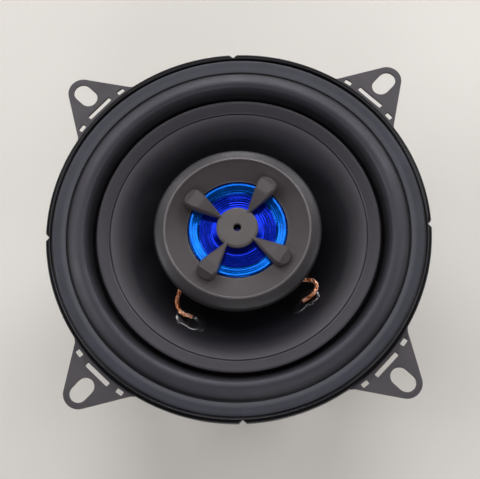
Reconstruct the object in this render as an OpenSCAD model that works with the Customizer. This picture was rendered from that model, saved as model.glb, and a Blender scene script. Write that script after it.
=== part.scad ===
// Two-way coaxial car speaker, 100 mm class, on a four-eared pressed-steel basket.
// Origin: centre of the mounting plane, which is the rear face of the flange and of the ears.
// +Z points out of the cone to the listener, +X and +Y run through two of the four ears.
// All sizes are in millimetres.

/* [Flange and ears] */
// Outer diameter of the round flange
flange_d = 102; // [101:0.5:103]
// Thickness of the pressed steel sheet
sheet_t = 1; // [0.8:0.1:1.1]
// Height of the raised bead at the flange's edge, above the mounting plane
bead_h = 2; // [1.6:0.1:2.4]
// Distance between the centres of two opposite ear slots
slot_span = 116; // [115:0.5:117]
// Width of an ear slot
slot_w = 4.8; // [4.4:0.1:5]
// End-to-end length of an ear slot
slot_l = 7.2; // [6.8:0.1:7.4]
// Radius of the ear's tip
ear_tip_r = 4; // [3.7:0.1:4.2]

/* [Basket and magnet] */
// Depth from the mounting plane to the back of the magnet
depth = 45; // [44:0.5:50]
// Depth of the basket's seat behind the mounting plane
seat_depth = 23; // [22.5:0.1:23.5]
// Number of windows in the basket
window_count = 8; // [6:1:8]
// Angle that one window spans, in degrees
window_angle = 28; // [24:1:29]
// Diameter of the magnet ring
magnet_d = 70; // [66:1:76]
// Diameter of the back plate and the front plate
plate_d = 64; // [58:1:65]

/* [Cone and surround] */
// Radius of the cone's outer edge
cone_r = 37.8; // [37.4:0.1:38]
// Depth of the cone from its lip to its neck
cone_depth = 13.4; // [13:0.1:13.6]
// Height of the surround's crest above the mounting plane
roll_top = 3.6; // [3:0.1:4]
// Inner radius of the voice coil's former
former_r = 12.7; // [12.65:0.05:12.75]

/* [Tweeter] */
// Radius of the tweeter's housing
housing_r = 22.2; // [21.8:0.1:22.4]
// Radius of the round opening in the tweeter's face
opening_r = 13.3; // [13.2:0.1:13.6]
// Radius of the disc in the middle of the opening
disc_r = 5.5; // [5:0.1:5.8]
// Direction of the first of the four arms, in degrees from +X
arm_angle = 9; // [0:1:20]

/* [Hidden] */

round_fn = 96;
small_fn = 32;

flange_r = flange_d / 2;
bead_w = 1.3;
wall_r = 43.5;
wall_z = -7.2;
ledge_z = 5.7 - seat_depth;
ledge_in = 25;
ledge_out = 29.4;
seat_in = 16.5;
seat_out = 24.1;
window_in = 31.5;
window_out = 42;
notch_w = 2;
notch_depth = 1;
ear_base_half = 10.2;
ear_base_x = flange_r - 0.4;
long_slit = [1.2, 8];
short_slit = [1.2, 2];
short_slit_y = 7.4;
long_slit_x = flange_r + 1.4;
short_slit_x = flange_r + 0.7;
seat_rivet_r = 20.5;

foot_t = 0.5;
gasket_in = 45.7;
gasket_out = 49.2;
gasket_top = 2.0;
roll_r = 41.7;
roll_half = 3.6;
roll_in_z = -0.5;
roll_out_z = sheet_t + foot_t / 2;

lip_in = 34.4;
lip_top = 0.3;
cone_t = 0.5;
former_t = 0.25;
neck_r = former_r + former_t;
cone_power = 1.35;
former_top = lip_top - cone_depth + 0.6;
former_bottom = former_top - 18;
winding_t = 0.35;
winding_top = former_bottom + 9.7;
winding_bottom = former_bottom + 0.7;

plate_t = 4.5;
back_t = 5;
pole_r = 12.3;
pole_bore_r = 3;
gap_r = 13.6;
plate_bottom = -seat_depth - plate_t;
back_top = back_t - depth;
counterbore_r = 5;
counterbore_z = 3.5 - depth;

housing_bottom = -8.4;
housing_wall = 1.2;
face_r = 19.1;
face_top = 4.5;
face_bottom = 2.8;
face_dish = 0.3;
arm_top = 5.9;
arm_bottom = 3.6;
arm_end_r = 2.6;
arm_end_x = 13.7;
nut_top = -4.2;
cup_bottom = -4;
cup_top = 0.8;
cup_r = 11;
tweeter_gap_r = 7.4;
tweeter_pole_r = 6.2;
tweeter_coil_r = 6.5;

terminal_angle = -45;
board_x = wall_r + 1.1;
board_t = 1.5;
board_top = -2.2;
board_rivet_z = -4.6;
blade_t = 0.8;
tab_y = 6.5;
tab_z = -9.8;

lead_r = 0.6;
wire_r = 0.4;
lead_sides = 8;
eyelet_left = [5.7, -24.2];
eyelet_right = [25.1, -0.7];
eyelet_r = 1.3;

// Points that each lead passes through, from its fixed end to its moving end.
front_left_route = [[-2.2, -19, -0.6], [-2.1, -19.3, -2.6], [-1.5, -21.3, -3.4], [0, -24, -2.9],
    [1.8, -25.2, -2.4], [3.3, -25.6, -2.1], [4.6, -25.3, -2.1], [5.6, -24.5, -2.4]];
front_right_route = [[18.9, 1.8, -0.6], [19.2, 1.9, -2.6], [21.1, 3.1, -3.4], [22.8, 4.3, -3],
    [24.3, 4.2, -2.5], [25.3, 3, -2.1], [25.6, 1.2, -2.1], [25.1, -0.4, -2.4]];
rear_left_route = [[43.5, -6.5, -9.8], [42.4, -7.3, -11], [39.5, -9.2, -11.4], [34, -12, -11.6],
    [28, -14, -10.8], [23, -14, -8.8], [21.1, -13.2, -6.6]];
rear_right_route = [[43.5, 6.5, -9.8], [42.4, 7.3, -11], [39.5, 9.4, -11.4], [33, 13, -11.6],
    [26, 16.6, -10.8], [20.2, 18, -8.8], [18.2, 17.3, -6.6]];
wire_left_route = [[-2.2, -19, -0.2], [-4.5, -18.6, 0.1], [-10, -16, 0], [-14.5, -11, -0.8],
    [-15.2, -7.5, -1.4], [-14.6, -3.6, -1.8]];
wire_right_route = [[18.9, 1.8, -0.2], [18.2, 4.5, 0.1], [15.5, 8.6, 0], [10.9, 10.9, -0.4]];
wire_cap_route = [[-12.4, 8.4, -1.8], [-11, 12, -1], [-7, 15.8, -0.1], [0, 17.8, 0.1], [6.5, 16, 0],
    [8.9, 12.7, -0.4]];

// Height of the cone's front surface at radius r, curved like a flared horn.
function cone_z(r) = let (t = max(0, min(1, (r - neck_r) / (lip_in - neck_r))))
    lip_top - 0.5 - (cone_depth - 0.5) * pow(1 - t, cone_power);

// Points of the cone's front from the neck to the groove.
function cone_front() = [for (i = [0 : 12])
    let (r = neck_r + (lip_in - neck_r) * i / 12) [r, cone_z(r)]];

function back_to_front(list) = [for (i = [len(list) - 1 : -1 : 0]) list[i]];

// Half-roll at distance d from its middle line, from the inner foot to the outer foot.
function roll(d) = [for (a = [180 : -10 : 0])
    let (side = (1 + cos(a)) / 2, base = roll_in_z + (roll_out_z - roll_in_z) * side)
    [roll_r + (roll_half + d) * cos(a), base + (roll_top - base - 0.25 + d) * sin(a)]];

// Smooth curve through a list of points, n steps between neighbours.
function spline_point(a, b, c, d, t) = 0.5 * (2 * b + (c - a) * t + (2 * a - 5 * b + 4 * c - d) * t * t
    + (3 * b - a - 3 * c + d) * t * t * t);
function spline(p, n) = let (last = len(p) - 1)
    [for (i = [0 : last - 1], k = [0 : n - 1])
        spline_point(p[max(i - 1, 0)], p[i], p[i + 1], p[min(i + 2, last)], k / n), p[last]];

function unit(v) = v / norm(v);
function direction(p, i) = unit(p[min(i + 1, len(p) - 1)] - p[max(i - 1, 0)]);

// Normals of a swept tube, each carried on from the one before so that the tube doesn't twist.
function carry(n, t) = unit(n - (n * t) * t);
function first_normal(t) = carry(abs(t[2]) > 0.9 ? [1, 0, 0] : [0, 0, 1], t);
function normals(p, i, n) = i >= len(p) ? [] :
    let (m = carry(n, direction(p, i))) concat([m], normals(p, i + 1, m));

// Tube along a route.
module tube(route, r, steps = 2) {
    p = spline(route, steps);
    n = normals(p, 0, first_normal(direction(p, 0)));
    rings = [for (i = [0 : len(p) - 1])
        let (across = cross(direction(p, i), n[i]))
        for (k = [0 : lead_sides - 1])
            let (a = 360 * k / lead_sides) p[i] + r * (cos(a) * n[i] + sin(a) * across)];
    last = len(rings) - lead_sides;
    sides = [for (i = [0 : len(p) - 2], k = [0 : lead_sides - 1])
        let (a = i * lead_sides + k, b = i * lead_sides + (k + 1) % lead_sides)
        [a, a + lead_sides, b + lead_sides, b]];
    ends = [[for (k = [0 : lead_sides - 1]) k], [for (k = [lead_sides - 1 : -1 : 0]) last + k]];
    polyhedron(points = rings, faces = concat(sides, ends));
}

module at_quarters(start = 0) {
    for (k = [0 : 3])
        rotate([0, 0, start + 90 * k])
            children();
}

module ring(r_in, r_out, z_low, z_high) {
    rotate_extrude($fn = round_fn)
        translate([r_in, z_low])
            square([r_out - r_in, z_high - z_low]);
}

module rod(r, z_low, z_high, fn = small_fn) {
    translate([0, 0, z_low])
        cylinder(r = r, h = z_high - z_low, $fn = fn);
}

// Long hole with round ends, which runs along X.
module slot_2d(length, width) {
    for (s = [-1, 1])
        translate([s * (length - width) / 2, 0])
            circle(d = width, $fn = small_fn);
    square([length - width, width], center = true);
}

// Points of a round end about [x, 0], between the two straight sides that leave it towards [from_x, +-half].
function round_end(x, r, from_x, half, steps) =
    let (limit = atan2(half, from_x - x) - acos(r / norm([from_x - x, half])))
    [for (i = [-steps : steps]) [x + r * cos(limit * i / steps), r * sin(limit * i / steps)]];

// Ear that points along +X: a round tip, and two sides that run from it to the flange.
module ear_2d() {
    tip_x = slot_span / 2 + (slot_l - slot_w) / 2;
    polygon(concat(
        round_end(tip_x, ear_tip_r, ear_base_x, ear_base_half, 8),
        [[ear_base_x, ear_base_half], [flange_r - 2, ear_base_half + 1.2],
            [flange_r - 2, -ear_base_half - 1.2], [ear_base_x, -ear_base_half]]));
}

module ear_holes_2d() {
    translate([slot_span / 2, 0])
        slot_2d(slot_l, slot_w);
    translate([long_slit_x, 0])
        square(long_slit, center = true);
    for (s = [-1, 1])
        translate([short_slit_x, s * short_slit_y])
            rotate(s * 9)
                square(short_slit, center = true);
}

module window_2d() {
    intersection() {
        difference() {
            circle(r = window_out, $fn = round_fn);
            circle(r = window_in, $fn = round_fn);
        }
        polygon([[0, 0], [60, -60 * tan(window_angle / 2)], [60, 60 * tan(window_angle / 2)]]);
    }
}

module basket_shell() {
    rotate_extrude($fn = round_fn)
        polygon([[seat_in, -seat_depth], [seat_out + 1, -seat_depth], [ledge_in + 1, ledge_z - sheet_t],
            [ledge_out + 0.5, ledge_z - sheet_t], [wall_r + 1, wall_z - 0.5], [wall_r + 1, 0], [flange_r, 0],
            [flange_r, bead_h - 0.4], [flange_r - 0.4, bead_h], [flange_r - bead_w, bead_h],
            [flange_r - bead_w, sheet_t], [wall_r, sheet_t], [wall_r, wall_z], [ledge_out, ledge_z],
            [ledge_in, ledge_z], [seat_out, 1 - seat_depth], [seat_in, 1 - seat_depth]]);
}

module basket() {
    color([0.16, 0.16, 0.17])
    difference() {
        union() {
            basket_shell();
            at_quarters()
                linear_extrude(sheet_t)
                    difference() {
                        ear_2d();
                        circle(r = flange_r - 1, $fn = round_fn);
                    }
            // Flat pad that the terminal board is riveted to
            rotate([0, 0, terminal_angle])
                translate([wall_r - 0.9, -9, wall_z + 0.2])
                    cube([2, 18, board_top - wall_z - 0.2]);
        }
        at_quarters()
            translate([0, 0, -1])
                linear_extrude(5)
                    ear_holes_2d();
        at_quarters(45)
            translate([0, 0, -1])
                linear_extrude(5)
                    polygon([[flange_r - notch_depth, 0], [flange_r + 0.5, -notch_w * 0.75],
                        [flange_r + 0.5, notch_w * 0.75]]);
        for (k = [0 : window_count - 1])
            rotate([0, 0, 360 * (k + 0.5) / window_count])
                translate([0, 0, ledge_z])
                    linear_extrude(-ledge_z - 4)
                        window_2d();
        at_quarters(45)
            translate([seat_rivet_r, 0, 0])
                rod(1.5, -seat_depth - 1, 2 - seat_depth);
        rotate([0, 0, terminal_angle])
            translate([wall_r, 0, board_rivet_z])
                rotate([0, 90, 0])
                    rod(1.2, -5, 5);
    }
}

module basket_rivets() {
    color("silver")
    at_quarters(45)
        translate([seat_rivet_r, 0, 0]) {
            rod(1.5, plate_bottom + 1, 1 - seat_depth);
            rotate_extrude($fn = small_fn)
                polygon([[0, 1 - seat_depth], [2.4, 1 - seat_depth], [2.2, 1.6 - seat_depth],
                    [1.4, 2 - seat_depth], [0, 2.1 - seat_depth]]);
        }
}

module front_gasket() {
    color([0.27, 0.28, 0.31])
    rotate_extrude($fn = round_fn)
        polygon([[gasket_in, sheet_t + foot_t], [gasket_out, sheet_t + foot_t], [gasket_out, gasket_top - 0.2],
            [gasket_out - 0.3, gasket_top], [gasket_in + 0.4, gasket_top], [gasket_in, gasket_top - 0.3]]);
}

// Rubber half-roll with a flat foot under the cone's lip and another on the flange.
module surround() {
    color([0.2, 0.2, 0.21])
    rotate_extrude($fn = round_fn)
        polygon(concat(
            [[cone_r - 2, roll_in_z - 0.25], [cone_r - 2, roll_in_z + 0.25], [cone_r + 0.2, roll_in_z + 0.25]],
            [for (p = roll(0.25)) if (p[0] < roll_r + roll_half - 0.2 && p[0] > cone_r + 0.15) p],
            [[roll_r + roll_half + 0.3, sheet_t + foot_t], [gasket_out, sheet_t + foot_t], [gasket_out, sheet_t]],
            back_to_front(roll(-0.25))));
}

module cone() {
    color([0.13, 0.12, 0.12])
    difference() {
        rotate_extrude($fn = round_fn)
            polygon(concat(
                cone_front(),
                [[lip_in + 0.4, lip_top - 0.05], [lip_in + 0.8, lip_top], [cone_r - 0.2, lip_top],
                    [cone_r, lip_top - 0.2], [cone_r, lip_top - cone_t], [lip_in + 0.6, lip_top - cone_t]],
                [for (p = back_to_front(cone_front())) [p[0], p[1] - cone_t]]));
        for (e = [eyelet_left, eyelet_right])
            translate([e[0], e[1], 0])
                rod(eyelet_r, -20, 0);
    }
}

// Corrugated cloth disc that centres the coil.
module spider() {
    waves = 5;
    first = neck_r + 0.9;
    last = ledge_in - 0.4;
    front = concat([[neck_r + 0.03, 0.3], [first, 0.3]],
        [for (i = [1 : 8 * waves - 1]) [first + (last - first) * i / (8 * waves),
            0.3 + 0.55 * sin(i * 45)]],
        [[last, 0.3], [ledge_in + 0.2, 0.2], [ledge_out - 0.8, 0.2]]);
    color([0.75, 0.62, 0.3])
    translate([0, 0, ledge_z])
        rotate_extrude($fn = round_fn)
            polygon(concat([for (p = front) p + [0, 0.15]], [for (p = back_to_front(front)) p - [0, 0.15]]));
}

module voice_coil_former() {
    color([0.72, 0.55, 0.3])
    ring(former_r, neck_r, former_bottom, former_top);
}

module voice_coil_winding() {
    color([0.72, 0.36, 0.18])
    ring(neck_r, neck_r + winding_t, winding_bottom, winding_top);
}

module lead_eyelets() {
    color([0.8, 0.65, 0.3])
    for (e = [eyelet_left, eyelet_right])
        translate([e[0], e[1], 0])
            ring_small(0.7, eyelet_r, cone_z(norm(e)) - 2, cone_z(norm(e) - eyelet_r) - 0.05);
}

module ring_small(r_in, r_out, z_low, z_high) {
    rotate_extrude($fn = small_fn)
        translate([r_in, z_low])
            square([r_out - r_in, z_high - z_low]);
}

// Low domes of adhesive on the cone, over the two eyelets.
module lead_glue() {
    dome_r = 6;
    dome_h = 1;
    color([0.06, 0.06, 0.07])
    difference() {
        for (e = [eyelet_left, eyelet_right])
            let (r = norm(e) + 0.3, lean = atan2(cone_z(r + 0.5) - cone_z(r - 0.5), 1))
            rotate([0, 0, atan2(e[1], e[0])])
                translate([r + (dome_r - dome_h) * sin(lean), 0, cone_z(r) - (dome_r - dome_h) * cos(lean)])
                    sphere(r = dome_r, $fn = 180);
        rotate_extrude($fn = 360)
            polygon(concat([[neck_r, -30]], cone_front(), [[40, lip_top], [40, -30]]));
    }
}

module front_plate() {
    color([0.65, 0.66, 0.68])
    difference() {
        ring(gap_r, plate_d / 2, plate_bottom, -seat_depth);
        at_quarters(45)
            translate([seat_rivet_r, 0, 0])
                rod(1.5, plate_bottom + 1, 0);
    }
}

module magnet_ring() {
    chamfer = 0.8;
    color([0.2, 0.2, 0.2])
    rotate_extrude($fn = round_fn)
        polygon([[16.5, back_top], [magnet_d / 2 - chamfer, back_top], [magnet_d / 2, back_top + chamfer],
            [magnet_d / 2, plate_bottom - chamfer], [magnet_d / 2 - chamfer, plate_bottom], [16.5, plate_bottom]]);
}

// Back plate with the pole piece that stands on it.
module yoke() {
    color([0.65, 0.66, 0.68])
    difference() {
        union() {
            rotate_extrude($fn = round_fn)
                polygon([[0, -depth], [plate_d / 2 - 1, -depth], [plate_d / 2, 1 - depth],
                    [plate_d / 2, back_top], [0, back_top]]);
            rod(pole_r, back_top - 1, -seat_depth, round_fn);
        }
        rod(pole_bore_r, -depth - 1, 1);
        rod(counterbore_r, -depth - 1, counterbore_z, 48);
    }
}

module front_lead_left() {
    color([0.75, 0.42, 0.25])
    tube(front_left_route, lead_r);
}

module front_lead_right() {
    color([0.75, 0.42, 0.25])
    tube(front_right_route, lead_r);
}

module rear_lead_left() {
    color([0.75, 0.42, 0.25])
    rotate([0, 0, terminal_angle])
        tube(rear_left_route, lead_r, 3);
}

module rear_lead_right() {
    color([0.75, 0.42, 0.25])
    rotate([0, 0, terminal_angle])
        tube(rear_right_route, lead_r, 3);
}

module board_hole(y, z, r) {
    translate([board_x, y, z])
        rotate([0, 90, 0])
            rod(r, -5, 5);
}

module terminal_board() {
    color([0.45, 0.3, 0.16])
    rotate([0, 0, terminal_angle])
        difference() {
            translate([board_x, -12, -14])
                cube([board_t, 24, board_top + 14]);
            board_hole(0, board_rivet_z, 1.2);
            for (s = [-1, 1])
                board_hole(s * tab_y, tab_z, 1.4);
        }
}

// Flat blade that hangs behind the board, with a hole for its eyelet.
module terminal_blade(y, width) {
    rotate([0, 0, terminal_angle])
        difference() {
            translate([board_x + board_t, y, 0])
                rotate([90, 0, 90])
                    linear_extrude(blade_t)
                        polygon([[-width / 2, -6], [-width / 2, -20.5], [-width / 2 + 1, -22],
                            [width / 2 - 1, -22], [width / 2, -20.5], [width / 2, -6]]);
            board_hole(y, tab_z, 1.4);
        }
}

module terminal_positive() {
    color([0.82, 0.8, 0.72])
    terminal_blade(tab_y, 6.3);
}

module terminal_negative() {
    color([0.82, 0.8, 0.72])
    terminal_blade(-tab_y, 4.8);
}

module terminal_eyelets() {
    inner = board_x - 0.7;
    outer = board_x + board_t + 1.4;
    color([0.8, 0.65, 0.3])
    rotate([0, 0, terminal_angle])
        for (s = [-1, 1])
            translate([0, s * tab_y, tab_z])
                rotate([0, 90, 0])
                    rotate_extrude($fn = small_fn)
                        polygon([[0.8, inner], [1.9, inner], [1.9, board_x], [1.4, board_x],
                            [1.4, board_x + board_t + blade_t], [2, board_x + board_t + blade_t],
                            [2, outer], [0.8, outer]]);
}

module board_rivet() {
    inner = wall_r - 0.9;
    outer = board_x + board_t;
    color("silver")
    rotate([0, 0, terminal_angle])
        translate([0, 0, board_rivet_z])
            rotate([0, 90, 0])
                rotate_extrude($fn = small_fn)
                    polygon([[0, inner - 0.7], [2, inner - 0.7], [2, inner], [1.2, inner],
                        [1.2, outer], [2.2, outer], [2, outer + 0.6], [1.2, outer + 1], [0, outer + 1]]);
}

module tweeter_post() {
    color([0.12, 0.12, 0.12])
    rotate_extrude($fn = 64)
        polygon([[2.3, -seat_depth], [8.5, -seat_depth], [8.5, 1.4 - seat_depth], [6.2, 2.4 - seat_depth],
            [5.4, 4 - seat_depth], [5.4, housing_bottom], [2.3, housing_bottom]]);
}

module tweeter_bolt() {
    head_top = counterbore_z - 0.8;
    color("silver")
    difference() {
        union() {
            rod(2, head_top - 1, nut_top);
            rotate_extrude($fn = small_fn)
                polygon([[0, head_top - 2.4], [2.4, head_top - 2.4], [3.4, head_top - 1.7],
                    [3.6, head_top], [0, head_top]]);
        }
        for (a = [0, 90])
            rotate([0, 0, a])
                translate([-1.9, -0.4, head_top - 2.5])
                    cube([3.8, 0.8, 1.4]);
    }
}

module bolt_washer() {
    color("silver")
    ring_small(2.1, 4.4, counterbore_z - 0.8, counterbore_z);
}

module bolt_nut() {
    color("silver")
    difference() {
        translate([0, 0, housing_bottom + housing_wall])
            cylinder(d = 8.1, h = nut_top - housing_bottom - housing_wall, $fn = 6);
        rod(2, -10, 0);
    }
}

// Mushroom-shaped cup that holds the tweeter over the cone.
module tweeter_housing() {
    r = housing_r;
    w = housing_wall;
    color([0.3, 0.29, 0.28])
    difference() {
        rotate_extrude($fn = round_fn)
            polygon([[2.3, housing_bottom], [12.3, housing_bottom], [r - 2, -2], [r - 0.6, -1], [r, 0.8],
                [r, 3.2], [r - 0.4, 4], [r - 1.2, 4.7], [r - 2.2, 5], [face_r + 0.1, 5], [face_r + 0.05, face_bottom - 0.3],
                [r - w - 0.4, face_bottom - 0.4], [r - w - 0.4, 0.4], [r - 2.8, -1], [12, housing_bottom + w],
                [2.3, housing_bottom + w]]);
        for (p = [front_left_route[1], front_right_route[1]])
            translate([p[0], p[1], 0])
                rod(1.2, -6, 0.5);
    }
}

// Arm that points along +X: sharp at the disc, wide and round at its outer end.
module arm_2d() {
    point_x = disc_r - 0.6;
    point_half = 0.15;
    polygon(concat(round_end(arm_end_x, arm_end_r, point_x, point_half, 10),
        [[point_x, point_half], [point_x, -point_half]]));
}

// Face plate with its opening, the four arms and the disc, moulded as one.
module tweeter_face() {
    color([0.33, 0.31, 0.3])
    difference() {
        union() {
            rotate_extrude($fn = round_fn)
                polygon([[opening_r, face_bottom], [face_r, face_bottom], [face_r, face_top],
                    [opening_r + 0.4, face_top - face_dish], [opening_r, face_top - face_dish - 0.3]]);
            rod(disc_r, arm_bottom, face_top + 0.1, 64);
            at_quarters(arm_angle)
                translate([0, 0, arm_bottom])
                    linear_extrude(arm_top - arm_bottom)
                        arm_2d();
        }
        rod(1, 0, 10);
    }
}

// Plastic ring that carries the diaphragm on the tweeter's magnet cup.
module tweeter_frame() {
    color([0.15, 0.15, 0.15])
    rotate_extrude($fn = round_fn)
        polygon([[9.4, cup_top], [17.6, cup_top], [17.6, face_bottom - 0.3], [13.6, face_bottom - 0.3],
            [11.8, cup_top + 0.6], [9.4, cup_top + 0.6]]);
}

// Thin ridged diaphragm, clamped at its edge and carried by the coil.
module tweeter_diaphragm() {
    front = [[0, 3], [2, 2.92], [4, 2.66], [5.5, 2.25], [6.55, 1.85], [7.2, 2.15], [7.8, 2.35], [8.4, 2.1],
        [9, 2.4], [9.6, 2.15], [10.3, 2.2], [10.9, 2.75], [11.7, 3.05], [12.5, 2.95], [13.1, face_bottom - 0.05],
        [15, face_bottom - 0.05]];
    color([0.05, 0.2, 0.85])
    rotate_extrude($fn = round_fn)
        polygon(concat(front, [for (p = back_to_front(front)) p - [0, 0.15]]));
}

module tweeter_coil_former() {
    color([0.72, 0.55, 0.3])
    ring_small(tweeter_coil_r, tweeter_coil_r + 0.12, -1.2, 1.68);
}

module tweeter_coil_winding() {
    color([0.72, 0.36, 0.18])
    ring_small(tweeter_coil_r + 0.12, tweeter_coil_r + 0.4, -0.8, 1);
}

module tweeter_yoke() {
    color([0.7, 0.7, 0.72])
    rotate_extrude($fn = 64)
        polygon([[0, cup_bottom], [cup_r - 0.6, cup_bottom], [cup_r, cup_bottom + 0.6], [cup_r, cup_top],
            [tweeter_gap_r, cup_top], [tweeter_gap_r, cup_bottom + 1.1], [0, cup_bottom + 1.1]]);
}

module tweeter_magnet() {
    color([0.75, 0.75, 0.78])
    rod(5.9, cup_bottom + 1.1, -0.6, 64);
}

module tweeter_pole_plate() {
    color([0.7, 0.7, 0.72])
    rod(tweeter_pole_r, -0.6, cup_top, 64);
}

module tweeter_tags() {
    color([0.82, 0.8, 0.72])
    for (a = [45, 55])
        rotate([0, 0, a])
            translate([14.4, -0.9, -1.2])
                cube([0.4, 1.8, 2]);
}

module crossover_capacitor() {
    color([0.1, 0.25, 0.5])
    rotate([0, 0, 170])
        translate([13.7, 0, -1.8])
            rotate([90, 0, 0])
                rotate_extrude($fn = 48)
                    polygon([[0, -5.5], [2.2, -5.5], [2.5, -5.2], [2.5, 3.9], [2.25, 4.2], [2.5, 4.5],
                        [2.5, 5.2], [2.2, 5.5], [0, 5.5]]);
}

module tweeter_wires() {
    color([0.7, 0.1, 0.1])
    for (route = [wire_left_route, wire_right_route, wire_cap_route])
        tube(route, wire_r, 3);
}

basket();
basket_rivets();
front_gasket();
surround();
cone();
spider();
voice_coil_former();
voice_coil_winding();
lead_eyelets();
lead_glue();
front_plate();
magnet_ring();
yoke();
front_lead_left();
front_lead_right();
rear_lead_left();
rear_lead_right();
terminal_board();
terminal_positive();
terminal_negative();
terminal_eyelets();
board_rivet();
tweeter_post();
tweeter_bolt();
bolt_washer();
bolt_nut();
tweeter_housing();
tweeter_face();
tweeter_frame();
tweeter_diaphragm();
tweeter_coil_former();
tweeter_coil_winding();
tweeter_yoke();
tweeter_magnet();
tweeter_pole_plate();
tweeter_tags();
crossover_capacitor();
tweeter_wires();
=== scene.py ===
"""Looks of a two-way coaxial car speaker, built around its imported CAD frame.

Everything is in the frame's own axes: +Z points out of the cone, and +X and +Y run through two of the
four ears. Sizes are in millimetres and become metres as they enter a mesh or a material.
"""

import math
from math import acos, atan2, copysign, cos, hypot, pi, radians, sin, tau

import bmesh
import bpy
from mathutils import Matrix, Vector


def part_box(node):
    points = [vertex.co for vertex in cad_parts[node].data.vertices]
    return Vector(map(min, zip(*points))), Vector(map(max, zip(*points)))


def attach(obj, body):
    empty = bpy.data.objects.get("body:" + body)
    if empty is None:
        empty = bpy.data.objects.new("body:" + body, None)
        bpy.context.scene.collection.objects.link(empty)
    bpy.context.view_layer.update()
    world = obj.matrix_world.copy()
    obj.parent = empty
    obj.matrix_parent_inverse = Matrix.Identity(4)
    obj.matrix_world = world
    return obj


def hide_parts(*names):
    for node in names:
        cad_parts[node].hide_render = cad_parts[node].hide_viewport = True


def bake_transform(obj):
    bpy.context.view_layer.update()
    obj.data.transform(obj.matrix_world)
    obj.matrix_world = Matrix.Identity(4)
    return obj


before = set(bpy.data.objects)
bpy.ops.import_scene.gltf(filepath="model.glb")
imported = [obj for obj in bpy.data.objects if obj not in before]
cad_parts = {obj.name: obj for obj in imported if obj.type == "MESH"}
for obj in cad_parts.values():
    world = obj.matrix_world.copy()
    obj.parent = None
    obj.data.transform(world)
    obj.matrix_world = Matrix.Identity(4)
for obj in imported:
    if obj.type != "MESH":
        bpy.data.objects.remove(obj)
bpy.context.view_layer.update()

MM = 0.001
QUARTERS = (0, 90, 180, 270)
CONE, COIL = "cone_assembly", "tweeter_coil"  # the two moving bodies


# -------- sizes taken from the frame

def outer_r(node):
    """Largest radius of a round CAD node about Z, in mm."""
    low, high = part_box(node)
    return (high.x - low.x) / 2 / MM


def heights(node):
    """Lowest and highest z of a CAD node, in mm."""
    return [corner.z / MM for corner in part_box(node)]


SHEET = 1.0
FLANGE_R = 51.0
BEAD_TOP = heights("basket")[1]
BEAD_IN = FLANGE_R - 1.3
EAR_TIP = outer_r("basket")
WALL_R, WALL_Z = 43.5, -7.2
PLATE_LOW, SEAT_Z = heights("front_plate")
SEAT_IN, SEAT_OUT = 16.5, 24.1
LEDGE_Z = SEAT_Z + 5.7
LEDGE_IN, LEDGE_OUT = 25.0, 29.4
GASKET_IN, GASKET_OUT = 45.7, outer_r("front_gasket")
GASKET_LOW, GASKET_TOP = heights("front_gasket")
CONE_R = outer_r("cone")
CONE_DEPTH, CONE_T = 13.4, 0.5
LIP_IN, LIP_TOP, LIP_DROP = 34.4, heights("cone")[1], 1.1
NECK_R = outer_r("voice_coil_former")
ROLL_TOP = heights("surround")[1]
ROLL_IN, ROLL_OUT = CONE_R + 0.6, 45.3
PLATE_R, MAGNET_R = outer_r("front_plate"), outer_r("magnet_ring")
BACK_Z, BACK_TOP = heights("yoke")[0], heights("magnet_ring")[0]
HOUSING_R = outer_r("tweeter_housing")
HOUSING_LOW, HOUSING_TOP = heights("tweeter_housing")
FACE_R = outer_r("tweeter_face")
FACE_LOW, ARM_TOP = heights("tweeter_face")
FACE_TOP = HOUSING_TOP - 0.5
ARM_ANGLE = 9
OPENING_R = 13.3
DISC_R = 5.5
POST_BORE = 2.3
TERMINAL_ANGLE = -45
BOARD_X, BOARD_T = WALL_R + 1.1, 1.5
BOARD_TOP, BOARD_RIVET_Z = -2.2, -4.6
BLADE_T = 0.8
TAB_Y, TAB_Z = 6.5, -9.8


def cone_z(r):
    """Height of the cone's front at radius r, in mm."""
    t = min(1.0, max(0.0, (r - NECK_R) / (LIP_IN - NECK_R)))
    return LIP_TOP - LIP_DROP - (CONE_DEPTH - LIP_DROP) * (1 - t) ** 1.35


def smoothstep(t):
    t = min(1.0, max(0.0, t))
    return t * t * (3 - 2 * t)


# -------- outlines and paths

def off(r, z, points):
    """These points (r, z) or corners (r, z, radius), moved by r and z."""
    return [(r + p[0], z + p[1], *p[2:]) for p in points]


def spline(points, steps):
    """Smooth curve through the points, with this many steps between neighbours."""
    pts = [Vector(p) for p in points]
    out = []
    for i in range(len(pts) - 1):
        a, b, c, d = pts[max(i - 1, 0)], pts[i], pts[i + 1], pts[min(i + 2, len(pts) - 1)]
        for k in range(steps):
            t = k / steps
            out.append(0.5 * (2 * b + (c - a) * t + (2 * a - 5 * b + 4 * c - d) * t * t
                              + (3 * b - a - 3 * c + d) * t ** 3))
    return out + [pts[-1]]


def fillet(corners, steps=4):
    """Closed outline with each corner (x, y, radius) rounded off; a corner (x, y) stays sharp."""
    out = []
    for i, corner in enumerate(corners):
        p = Vector(corner[:2])
        before = Vector(corners[i - 1][:2]) - p
        after = Vector(corners[(i + 1) % len(corners)][:2]) - p
        if len(corner) < 3:
            out.append((p.x, p.y))
            continue
        reach = min(corner[2], before.length * 0.49, after.length * 0.49)
        start, end = p + before.normalized() * reach, p + after.normalized() * reach
        for k in range(steps + 1):
            t = k / steps
            q = start * (1 - t) ** 2 + p * (2 * t * (1 - t)) + end * t * t
            out.append((q.x, q.y))
    return out


def rectangle(x_low, x_high, y_low, y_high, edge=0.2, steps=3):
    return fillet([(x_low, y_low, edge), (x_high, y_low, edge), (x_high, y_high, edge),
                   (x_low, y_high, edge)], steps)


def even_angles(count):
    return [tau * k / count for k in range(count)]


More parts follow.
